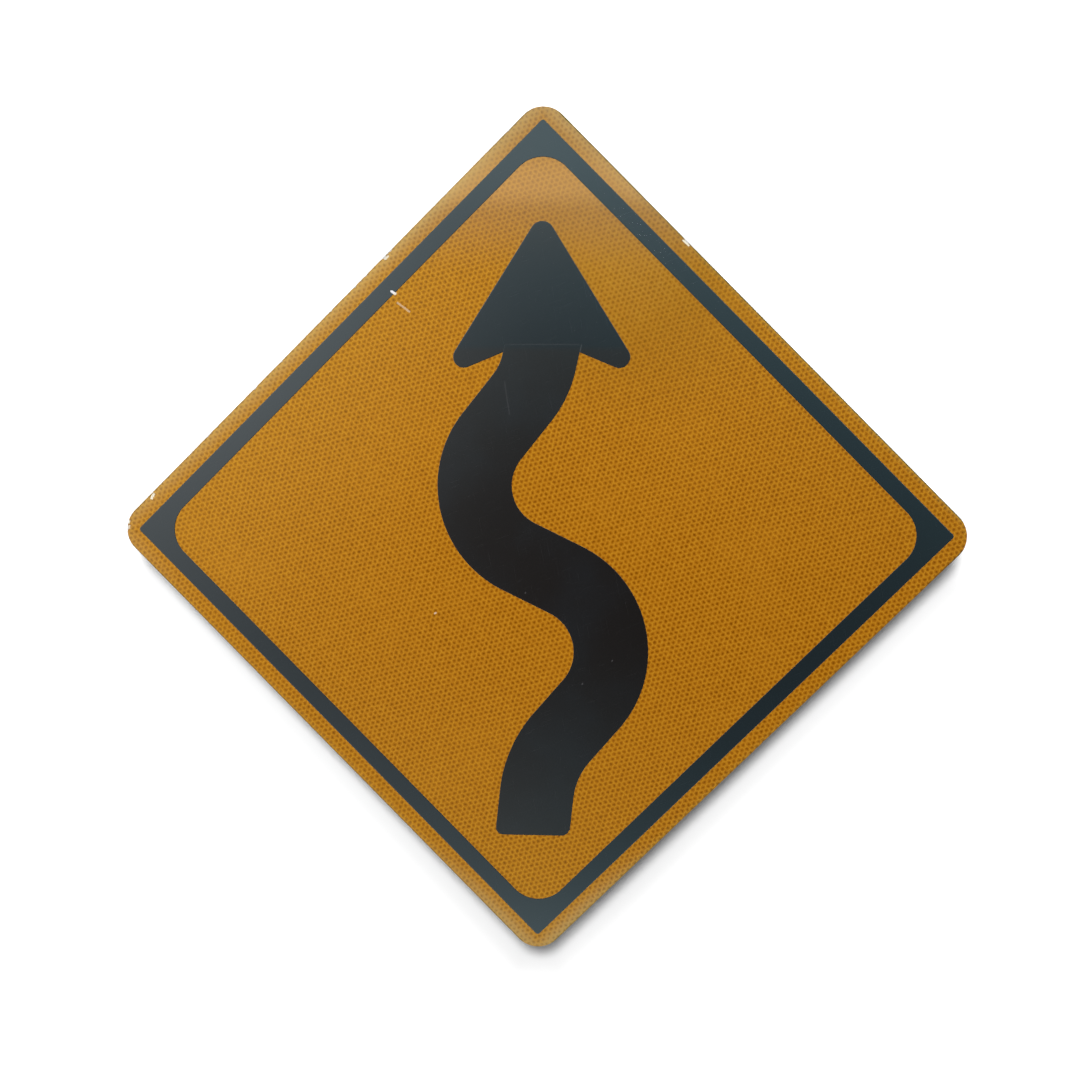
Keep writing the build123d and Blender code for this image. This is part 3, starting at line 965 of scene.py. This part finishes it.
ribLook = {
    "wall": 2.5,
    "flangeThickness": 2.0,
    "flangeReach": 10.0,
    "lip": 3.2,
    "slot": 9.0,
    "outerRadius": 1.5,
    "innerRadius": 1.0,
    "lipRadius": 0.5,
    "cornerRadius": 0.3,
    "endBreak": 0.25,  # the filed edge at a cut end
    "weldPitch": 45.0,
    "weldRow": 20.0,
    "weldCount": 7,
    "weldRadius": 3.0,
    "weldDepth": 0.3,
    "weldRim": (0.06, 0.6, 0.5),  # height, distance from the dish and half width of the rim round it
    "weldPatch": (5.0, 27),  # half length of the finer stretch at a weld, and its rows
    "rows": 25,  # along the rest
    "arcSteps": 4,
    "longest": 0.8,
}


def makeRib(look, level, finish):
    # The section, walked round as z and y, carried along X. Welds dent the flanges' backs: a flat-bottomed
    # dish with a low rim thrown up round it.
    low, high = boxMm("rib_" + level)
    middle = (low[2] + high[2]) / 2
    front, back = low[1], high[1]
    flange = front + look["flangeThickness"]
    lip = back - look["lip"]
    wide = high[2] - middle
    wall = wide - look["flangeReach"]
    hollow = wall - look["wall"]
    slot = look["slot"] / 2
    corner, outer, inner = look["cornerRadius"], look["outerRadius"], look["innerRadius"]
    half = [
        (wide, front, corner),
        (wide, flange, corner),
        (wall, flange, outer),
        (wall, back, outer),
        (slot, back, look["lipRadius"]),
        (slot, lip, corner),
        (hollow, lip, inner),
        (hollow, flange, inner),
    ]
    walk = half + [(-z, y, radius) for z, y, radius in half[::-1]]
    corners = [(z, y) for z, y, radius in walk]
    section, normals = roundedOutline(corners, [radius for z, y, radius in walk], look["arcSteps"])
    count = look["weldCount"]
    welds = (np.arange(count) - (count - 1) / 2) * look["weldPitch"]
    patchHalf, patchRows = look["weldPatch"]
    fine = (welds[:, None] + np.linspace(-patchHalf, patchHalf, patchRows)).ravel()
    lands = np.linspace(low[0] + look["endBreak"], high[0] - look["endBreak"], look["rows"])
    runs = np.unique(np.concatenate([[low[0], high[0]], lands, fine]))
    body = denser(np.concatenate([section, normals], 1), look["longest"])
    filed = look["endBreak"] * np.isin(runs, [low[0], high[0]])[:, None]
    x = np.broadcast_to(runs[:, None], (len(runs), len(body)))
    z = body[:, 0] - filed * body[:, 2]
    y = body[:, 1] - filed * body[:, 3]
    gap = np.min(np.hypot(x[..., None] - welds, (np.abs(z) - look["weldRow"])[..., None]), -1)
    dish = look["weldDepth"] * np.exp(-((gap / look["weldRadius"]) ** 8))
    rimHeight, rimAway, rimHalf = look["weldRim"]
    rim = rimHeight * np.exp(-(((gap - look["weldRadius"] - rimAway) / rimHalf) ** 2))
    onFlange = (np.abs(y - flange) < 0.01) & (np.abs(z) > wall + outer)
    y += np.where(onFlange, rim - dish, 0)
    patch = gridPatch(np.stack([x, y, z + middle], -1), closeCols=True, caps=True)
    return addPiece("welded_rib_" + level, "rib_" + level, finish, [patch])


# The half bands

bandLook = {
    "thickness": 3.2,
    "bendRadius": 3.0,  # inside
    "earReach": 11.5,  # from the bolt to the ear's end
    "earPatch": 20.0,  # length of the flat round the bolt
    "earCornerRadius": 6.0,
    "holeRadius": 4.5,
    "fan": [0, 0.06, 0.2, 0.4, 0.6, 0.8, 1],  # rings from a hole's rim to the ear's outline
    "stations": 220,
    "edge": 0.55,
    "edgeSegments": 3,
    "edgeAngle": 50.0,
    "arcSteps": 8,
    "routeStep": 0.1,
    "step": 1.0,
}


def makeBand(look, level, finish):
    # The strip's middle sheet: a route seen along the post, and z across it. Round each bolt hole the
    # sheet is a fan from the hole's rim out to the ear's outline. Solidify and Bevel give it its body.
    low, high = boxMm("clamp_band_" + level)
    middle, halfWidth = (low[2] + high[2]) / 2, (high[2] - low[2]) / 2
    ear = low[1] + look["thickness"] / 2
    ring = high[1] - look["thickness"] / 2
    bend = look["bendRadius"] + look["thickness"] / 2
    corners = [(low[0], ear), (-ring, ear), (-ring, ring), (ring, ring), (ring, ear), (high[0], ear)]
    route = traceRoute(corners, [bend, ring, ring, bend], look["routeStep"])
    total = route["breaks"][-1]

    def lift(along, across):  # from the flat strip to its bent shape
        x, y, heading = onRoute(route, along)
        return np.stack([x, y, middle + across], -1)

    flat = look["earPatch"]
    earCorners = [(0, -halfWidth), (flat, -halfWidth), (flat, halfWidth), (0, halfWidth)]
    radii = [look["earCornerRadius"], 0, 0, look["earCornerRadius"]]
    outline = denser(roundedOutline(earCorners, radii, look["arcSteps"])[0], look["step"])
    hole = np.array([look["earReach"], 0])
    fromHole = outline - hole
    rim = fromHole * look["holeRadius"] / np.linalg.norm(fromHole, axis=1)[:, None]
    share = np.array(look["fan"])[:, None, None]
    fan = rim * (1 - share) + fromHole * share + hole
    acrossSteps = int(round(2 * halfWidth / look["step"]))
    stations = np.linspace(flat, total - flat, look["stations"])
    widths = np.linspace(-halfWidth, halfWidth, acrossSteps + 1)
    along, across = np.meshgrid(stations, widths, indexing="ij")
    patches = [
        gridPatch(lift(fan[..., 0], fan[..., 1]), closeCols=True),
        gridPatch(lift(along, across)),
        gridPatch(lift(total - fan[..., 0], fan[..., 1]), closeCols=True),
    ]
    band = addPiece("galvanised_band_" + level, "clamp_band_" + level, finish, patches)
    body = band.modifiers.new("strip thickness", "SOLIDIFY")
    body.thickness = look["thickness"] * mm
    body.offset = 0.0
    body.use_even_offset = True
    edges = band.modifiers.new("rolled edges", "BEVEL")
    edges.width = look["edge"] * mm
    edges.segments = look["edgeSegments"]
    edges.limit_method = "ANGLE"
    edges.angle_limit = radians(look["edgeAngle"])
    edges.harden_normals = True
    return band


# Bolts, washers and nuts, each round a bolt's axis

boltLook = {
    "headRadius": 9.0,
    "headHeight": 4.6,
    "headRim": 1.0,
    "headEdge": [(0.0, 0.3), (0.15, 0.05), (0.4, 0.0)],  # rounded rim: in from the side, up from the neck
    "neckLength": 3.0,
    "neckHalf": 4.0,
    "neckEdge": 0.3,
    "neckCorner": 5.35,  # the square's corners are rounded off at this radius
    "radius": 4.0,
    "pitch": 1.25,
    "threadDepth": 0.62,
    "flank": (1.3, 0.15),  # how steep a thread's flanks are, and its flat crest
    "threadStart": 3.0,  # plain shank past the neck
    "tipChamfer": 1.0,
    "domeRows": 12,
    "aroundSteps": 64,
    "threadRow": 0.1,
}
washerLook = {"bore": 4.25, "edge": 0.25, "aroundSteps": 96}
springLook = {"bore": 4.15, "edge": 0.2, "gap": 1.6, "slant": 20.0, "aroundSteps": 110}
nutLook = {
    "flat": 6.5,  # from the axis to a flat
    "corner": 7.42,
    "faceRadius": 6.6,  # inside the chamfer
    "bore": 4.05,
    "boreRows": 3.0,  # how deep the rows in the bore are
    "boreTaper": 0.02,
    "countersink": 0.45,
    "chamfer": 30.0,  # degrees
    "edge": (0.05, 0.12),  # broken edge of the chamfer, inwards and along the axis
    "aroundSteps": 144,
    "turns": {"upper_left": 8.0, "upper_right": 41.0, "lower_left": 23.0, "lower_right": 52.0},  # degrees
}


def aroundAxis(node, radius, angle, y):
    # A point at a radius and an angle about a fastener's axis, the angle turning from X down to -Z
    low, high = boxMm(node)
    axis = (low + high) / 2
    radius, angle, y = np.broadcast_arrays(radius, angle, y)
    return np.stack([axis[0] + radius * np.cos(angle), y, axis[2] - radius * np.sin(angle)], -1)


def turnSteps(count):
    return np.arange(count) * 2 * pi / count


def makeBolt(look, place, finish):
    # Rows from the dome's top to the tip. A row's radius is a circle's, the square neck's, or the
    # thread's: the crest drops to the root and back once a pitch, shifted evenly once round.
    node = "bolt_" + place
    low, high = boxMm(node)
    angle = turnSteps(look["aroundSteps"])[None]
    head, tip = low[1] + look["headHeight"], high[1]
    dome = look["headHeight"] - look["headRim"]
    ball = (look["headRadius"] ** 2 + dome**2) / (2 * dome)
    domeRadius = look["headRadius"] * np.sin(np.linspace(0, pi / 2, look["domeRows"]))
    domeY = low[1] + ball - np.sqrt(ball**2 - domeRadius**2)
    edgeIn, edgeUp = np.array(look["headEdge"]).T
    headRadius = np.append(domeRadius, look["headRadius"] - edgeIn)
    headY = np.append(domeY, head - edgeUp)
    square = look["neckHalf"] / np.maximum(np.abs(np.cos(angle)), np.abs(np.sin(angle)))
    square = np.minimum(square, look["neckCorner"])
    length, edge = look["neckLength"], look["neckEdge"]
    neckY = head + np.array([0.0, edge, length - edge, length])[:, None]
    neck = np.concatenate([square, square, square, np.minimum(square, look["radius"])])
    y = np.arange(neckY[-1, 0] + look["threadRow"], tip, look["threadRow"])[:, None]
    wave = np.abs(((y / look["pitch"] - angle / (2 * pi)) % 1) * 2 - 1)
    steep, crest = look["flank"]
    cut = np.clip(wave * steep - crest, 0, 1) * look["threadDepth"]
    cut = cut * np.clip((y - neckY[-1, 0] - look["threadStart"]) / look["pitch"], 0, 1)
    endRadius = look["radius"] - look["tipChamfer"]
    shank = np.minimum(look["radius"] - cut, endRadius + (tip - y))
    rows = [
        aroundAxis(node, headRadius[:, None], angle, headY[:, None]),
        aroundAxis(node, neck, angle, neckY),
        aroundAxis(node, shank, angle, y),
        aroundAxis(node, np.array([[endRadius], [0.0]]), angle, np.full((2, 1), tip)),
    ]
    patch = gridPatch(np.concatenate(rows), closeCols=True)
    return addPiece("threaded_bolt_" + place, node, finish, [patch])


def ringSection(inner, outer, front, back, edge, arcSteps=4):
    # A washer's section: a rectangle of radius and y with broken corners
    corners = [(inner, front), (outer, front), (outer, back), (inner, back)]
    return roundedOutline(corners, [edge] * len(corners), arcSteps)[0]


def makeFlatWasher(look, place, finish):
    # The section carried once round the axis
    node = "flat_washer_" + place
    low, high = boxMm(node)
    section = ringSection(look["bore"], (high[0] - low[0]) / 2, low[1], high[1], look["edge"])
    angle = turnSteps(look["aroundSteps"])[None]
    rings = aroundAxis(node, section[:, :1], angle, section[:, 1:])
    patch = gridPatch(rings, closeRows=True, closeCols=True)
    return addPiece("stamped_washer_" + place, node, finish, [patch])


def makeSpringWasher(look, place, finish):
    # The section carried nearly once round. Each of its points starts and stops where the slanted slit
    # passes it.
    node = "spring_washer_" + place
    low, high = boxMm(node)
    section = ringSection(look["bore"], (high[2] - low[2]) / 2, low[1], high[1], look["edge"])
    radius, y = section[:, 0], section[:, 1]
    lean = -(y - (low[1] + high[1]) / 2) * tan(radians(look["slant"]))
    halfGap = look["gap"] / 2 / cos(radians(look["slant"]))
    start = np.arcsin((lean + halfGap) / radius)
    end = 2 * pi + np.arcsin((lean - halfGap) / radius)
    share = np.linspace(0, 1, look["aroundSteps"])[:, None]
    points = aroundAxis("bolt_" + place, radius, start + share * (end - start), y)
    patch = gridPatch(points, closeCols=True, caps=True)
    return addPiece("split_washer_" + place, node, finish, [patch])


def makeNut(look, place, finish):
    # A hexagon's radius is its flat's over the cosine of the angle from the flat's middle. The chamfer
    # drops each corner by its reach past the face's circle. The rows run from the bore over the front face
    # to the side, and back the same way.
    node = "nut_" + place
    low, high = boxMm(node)
    around = turnSteps(look["aroundSteps"])
    fromFlat = around % (pi / 3) - pi / 6
    hexagon = np.minimum(look["flat"] / np.cos(fromFlat), look["corner"])
    drop = np.maximum(hexagon - look["faceRadius"], 0) * tan(radians(look["chamfer"]))
    edgeIn, edgeAlong = look["edge"]
    face = np.minimum(hexagon, look["faceRadius"]) - edgeAlong
    bore, sink = look["bore"], look["countersink"]
    radii = [bore, bore + look["boreTaper"], bore + sink, face, hexagon - edgeIn, hexagon]
    depths = [look["boreRows"], sink, 0.0, 0.0, drop, drop + edgeAlong]
    radii, depths = (np.stack(np.broadcast_arrays(around, *rows)[1:]) for rows in (radii, depths))
    rows = np.concatenate([low[1] + depths, high[1] - depths[::-1]])
    angle = around + radians(look["turns"][place])
    rings = aroundAxis("bolt_" + place, np.concatenate([radii, radii[::-1]]), angle, rows)
    patch = gridPatch(rings, closeRows=True, closeCols=True)
    return addPiece("hex_nut_" + place, node, finish, [patch])


# Making the sign

ribLow, ribHigh = boxMm("rib_upper")
boltLow, boltHigh = boxMm("bolt_upper_right")
ribHeight = (ribLow[2] + ribHigh[2]) / 2
boltX = (boltLow[0] + boltHigh[0]) / 2
halfSide = plateLook["halfSide"]
plateMetal = makePlateMetal(plateFinishLook, halfSide, [ribHeight, -ribHeight], boxMm("sign_plate")[1][1])
sheeting = makeSheeting(sheetingLook, halfSide)
blackFilm = makeFilm(filmLook, boxMm("arrow_stem")[1][2])
ribMetal = makeRibMetal(ribFinishLook, ribLook, ribHeight, ribLow[1] + ribLook["flangeThickness"])
bandZinc = makeZincCoat(bandFinishLook)
fastenerZinc = makeFastenerZinc(fastenerFinishLook, boltLook, boltX, ribHeight, boltHigh[1])
print("finishes:", len(bpy.data.materials))

makePlate(plateLook, plateMetal)
makeSheet(sheetLook, plateLook, sheeting)
legendLow, legendHigh = boxMm("border_frame")
legendCentre = (legendLow + legendHigh) / 2
makeBorder(borderLook, blackFilm)
stemLine = makeStem(stemLook, legendCentre, blackFilm)
makeHead(headLook, stemLook, stemLine, legendCentre, blackFilm)
print("face: plate, sheeting and three films")

for level in ("upper", "lower"):
    makeRib(ribLook, level, ribMetal)
    makeBand(bandLook, level, bandZinc)
    for hand in ("left", "right"):
        place = level + "_" + hand
        makeBolt(boltLook, place, fastenerZinc)
        makeFlatWasher(washerLook, place, fastenerZinc)
        makeSpringWasher(springLook, place, fastenerZinc)
        makeNut(nutLook, place, fastenerZinc)
print("back: ribs, bands and fasteners")


# Stage, light and camera, in metres

stageLook = {
    "wallY": 0.036,  # just behind the bands
    "floorZ": -0.62,  # below what the camera sees
    "reach": 4.0,
    "paint": colour(0.94, 0.94, 0.94),
    "white": (0.05, 1.00),  # plain white that only the camera sees on it, near the sign and away from it
    "away": (0.225, 0.305),  # near and away, square to the sign's edges
    "middle": (-0.005, -0.030),  # of the sign's outline on the wall, and a little down
    "corner": 0.084,  # how much further a corner is from the middle than an edge
}
lampLook = {
    # azimuth, elevation, distance, width, level on a face square to Y
    "key": (1.4, 13.1, 2.00, 0.24, 0.82),
    "sideFill": (-52.0, 8.0, 0.85, 0.5, 0.075),
}
worldLook = {
    "fill": 0.16,
    "walls": 1.10,  # what gloss sees in front
    "sides": (0.20, 0.70),  # and at the sides, from low down to high up
    "behind": (0.50, 1.05),
    "heights": (-40.0, 60.0),  # low and high, in degrees
    "sidesFrom": (-0.88, -0.62),  # where front turns to side and side to back, along Y
    "behindFrom": (-0.25, 0.25),
    "dimCentre": (4.4, -6.2),  # azimuth and elevation of the unlit side where the camera stands
    "dimReach": (34.4, 18.0),
    "dimTilt": 0.80,
    "dimLevel": 0.06,
    "patchSoft": (0.1, 1.0),
    "patches": [  # brighter places: azimuth, elevation, half width, half height, level
        (-18.2, 9.3, 16.6, 19.0, 1.04),
        (-3.4, 11.0, 5.0, 3.2, 0.25),
        (-3.0, -19.0, 9.0, 4.0, 0.25),
        (-148.0, 32.0, 34.0, 26.0, 1.40),
        (142.0, 14.0, 22.0, 30.0, 1.00),
    ],
    "left": colour(0.92, 1.00, 1.02),  # daylight's tints in front
    "right": colour(0.49, 1.00, 1.15),
    "tintFrom": (0.5, 0.9),  # towards straight in front
    "tintTurn": (-18.0, 14.0),  # from left to right, in degrees
}
cameraLook = {
    "lookAt": (-0.00015, -0.0478, -0.0054),
    "azimuth": 3.38,
    "elevation": 3.06,
    "distance": 1.10,
    "roll": 0.367,
    "lens": 49.777,
    "sensor": 36.0,
}


def aim(azimuth, elevation):
    # The way from the sign to something at an azimuth and elevation, 0 being straight in front
    a, e = radians(azimuth), radians(elevation)
    return Vector((sin(a) * cos(e), -cos(a) * cos(e), sin(e)))


def addStage(look):
    # A white wall and floor, seen from the front and from above only, so the back of the sign stays in view.
    # The wall shows the sign's shadow close to it and runs out to plain white.
    material, f = newFinish("white paper")
    x, y, z = f.place()
    middle = look["middle"]
    offX = abs(x * mm - middle[0])
    offZ = abs(z * mm - middle[1])
    reach = f.most((offX + offZ) * sqrt(0.5), f.length(offX, offZ) - look["corner"])
    away = f.between(reach, *look["away"])
    near, far = look["white"]
    seen = f.node("LightPath", None, None, "Is Camera Ray") * (near + away * (far - near))
    behind = f.node("NewGeometry", None, None, "Backfacing")
    paper = f.node("BsdfDiffuse", None, {"Color": look["paint"]})
    white = f.node("Emission", None, {"Color": f.at(seen, seen, seen), "Strength": 1.0})
    front = f.node("AddShader", None, {0: paper, 1: white})
    clear = f.node("BsdfTransparent")
    both = f.node("MixShader", None, {0: behind, 1: front, 2: clear})
    f.node("OutputMaterial", None, {"Surface": both})
    square = np.array([(-1.0, -1.0), (1.0, -1.0), (1.0, 1.0), (-1.0, 1.0)]) * look["reach"]
    across, along = square.T
    level = np.ones(4)
    sheets = {
        "backdrop": (across, level * look["wallY"], along),
        "floor": (across, along, level * look["floorZ"]),
    }
    for name, corners in sheets.items():
        mesh = bpy.data.meshes.new(name)
        mesh.from_pydata(np.stack(corners, 1), [], [(0, 1, 2, 3)])
        mesh.materials.append(material)
        sheet = bpy.data.objects.new(name, mesh)
        scene.collection.objects.link(sheet)
        sheet.visible_diffuse = False
        sheet.visible_glossy = False
        sheet.visible_transmission = False
        sheet.visible_shadow = False


def addLamp(name, azimuth, elevation, distance, width, level):
    # A round soft box that gloss doesn't see. Its power gives the wanted level, as a share of white, on a
    # surface square to Y: level times pi squared times distance squared over the cosine.
    way = aim(azimuth, elevation)
    lamp = bpy.data.lights.new(name, "AREA")
    lamp.shape = "DISK"
    lamp.size = width
    lamp.energy = level * pi**2 * distance**2 / abs(way.y)
    holder = bpy.data.objects.new(name, lamp)
    holder.location = way * distance
    holder.rotation_mode = "QUATERNION"
    holder.rotation_quaternion = way.to_track_quat("Z", "Y")
    holder.visible_glossy = False
    scene.collection.objects.link(holder)


def addWorld(look):
    # White to the camera, even fill on the object, and for gloss a white room that is dim round the camera
    world = bpy.data.worlds.new("white room")
    world.use_nodes = True
    scene.world = world
    f = Finish(world.node_tree)
    way = f.node("SeparateXYZ", None, {0: f.node("TexCoord", None, None, "Generated")})
    forwards = 0.0 - way.out("Y")
    azimuth = f.math("ARCTAN2", way.out("X"), forwards) * (180 / pi)
    elevation = f.math("ARCSINE", way.out("Z")) * (180 / pi)
    offAcross = (azimuth - look["dimCentre"][0]) * (1 / look["dimReach"][0])
    offUp = (elevation - look["dimCentre"][1]) * (1 / look["dimReach"][1])
    dim = look["dimLevel"] + offAcross * offAcross + offUp * offUp + offAcross * offUp * look["dimTilt"]
    height = f.between(elevation, *look["heights"])
    sides, behind = (low + height * (high - low) for low, high in (look["sides"], look["behind"]))
    walls = look["walls"] + (sides - look["walls"]) * f.between(way.out("Y"), *look["sidesFrom"])
    walls = walls + (behind - walls) * f.between(way.out("Y"), *look["behindFrom"])
    gloss = f.most(f.least(dim, walls), 0.0)
    for across, up, halfWidth, halfHeight, strength in look["patches"]:
        away = f.length((azimuth - across) * (1 / halfWidth), (elevation - up) * (1 / halfHeight))
        gloss = gloss + f.within(away, *look["patchSoft"]) * strength
    path = f.node("LightPath")
    camera = path.out("Is Camera Ray")
    mirror = f.most(path.out("Is Glossy Ray"), path.out("Is Transmission Ray"))
    mirror = mirror * (1.0 - f.least(path.out("Diffuse Depth"), 1.0))  # not what gloss throws on dull paper
    level = camera + (1.0 - camera) * (mirror * gloss + (1.0 - mirror) * look["fill"])
    inFront = f.between(forwards, *look["tintFrom"]) * mirror * (1.0 - camera)
    daylight = f.blend(f.between(azimuth, *look["tintTurn"]), look["left"], look["right"])
    tint = f.blend(inFront, colour(1, 1, 1), daylight)
    tint = f.node("VectorMath", {"operation": "SCALE"}, {0: tint, "Scale": level})
    back = f.node("Background", None, {"Color": tint, "Strength": 1.0})
    f.node("OutputWorld", None, {"Surface": back})


def addCamera(look):
    # At the photo's angle and distance, turned a little about its own line of sight
    lens = bpy.data.cameras.new("photo view")
    lens.lens = look["lens"]
    lens.sensor_width = look["sensor"]
    holder = bpy.data.objects.new("photo view", lens)
    way = aim(look["azimuth"], look["elevation"])
    holder.location = Vector(look["lookAt"]) + way * look["distance"]
    holder.rotation_mode = "QUATERNION"
    roll = Quaternion((0, 0, 1), radians(look["roll"]))
    holder.rotation_quaternion = way.to_track_quat("Z", "Y") @ roll
    scene.collection.objects.link(holder)
    scene.camera = holder


addStage(stageLook)
for name, values in lampLook.items():
    addLamp(name, *values)
addWorld(worldLook)
addCamera(cameraLook)
scene.view_settings.view_transform = "Standard"
print("stage, light and camera set")
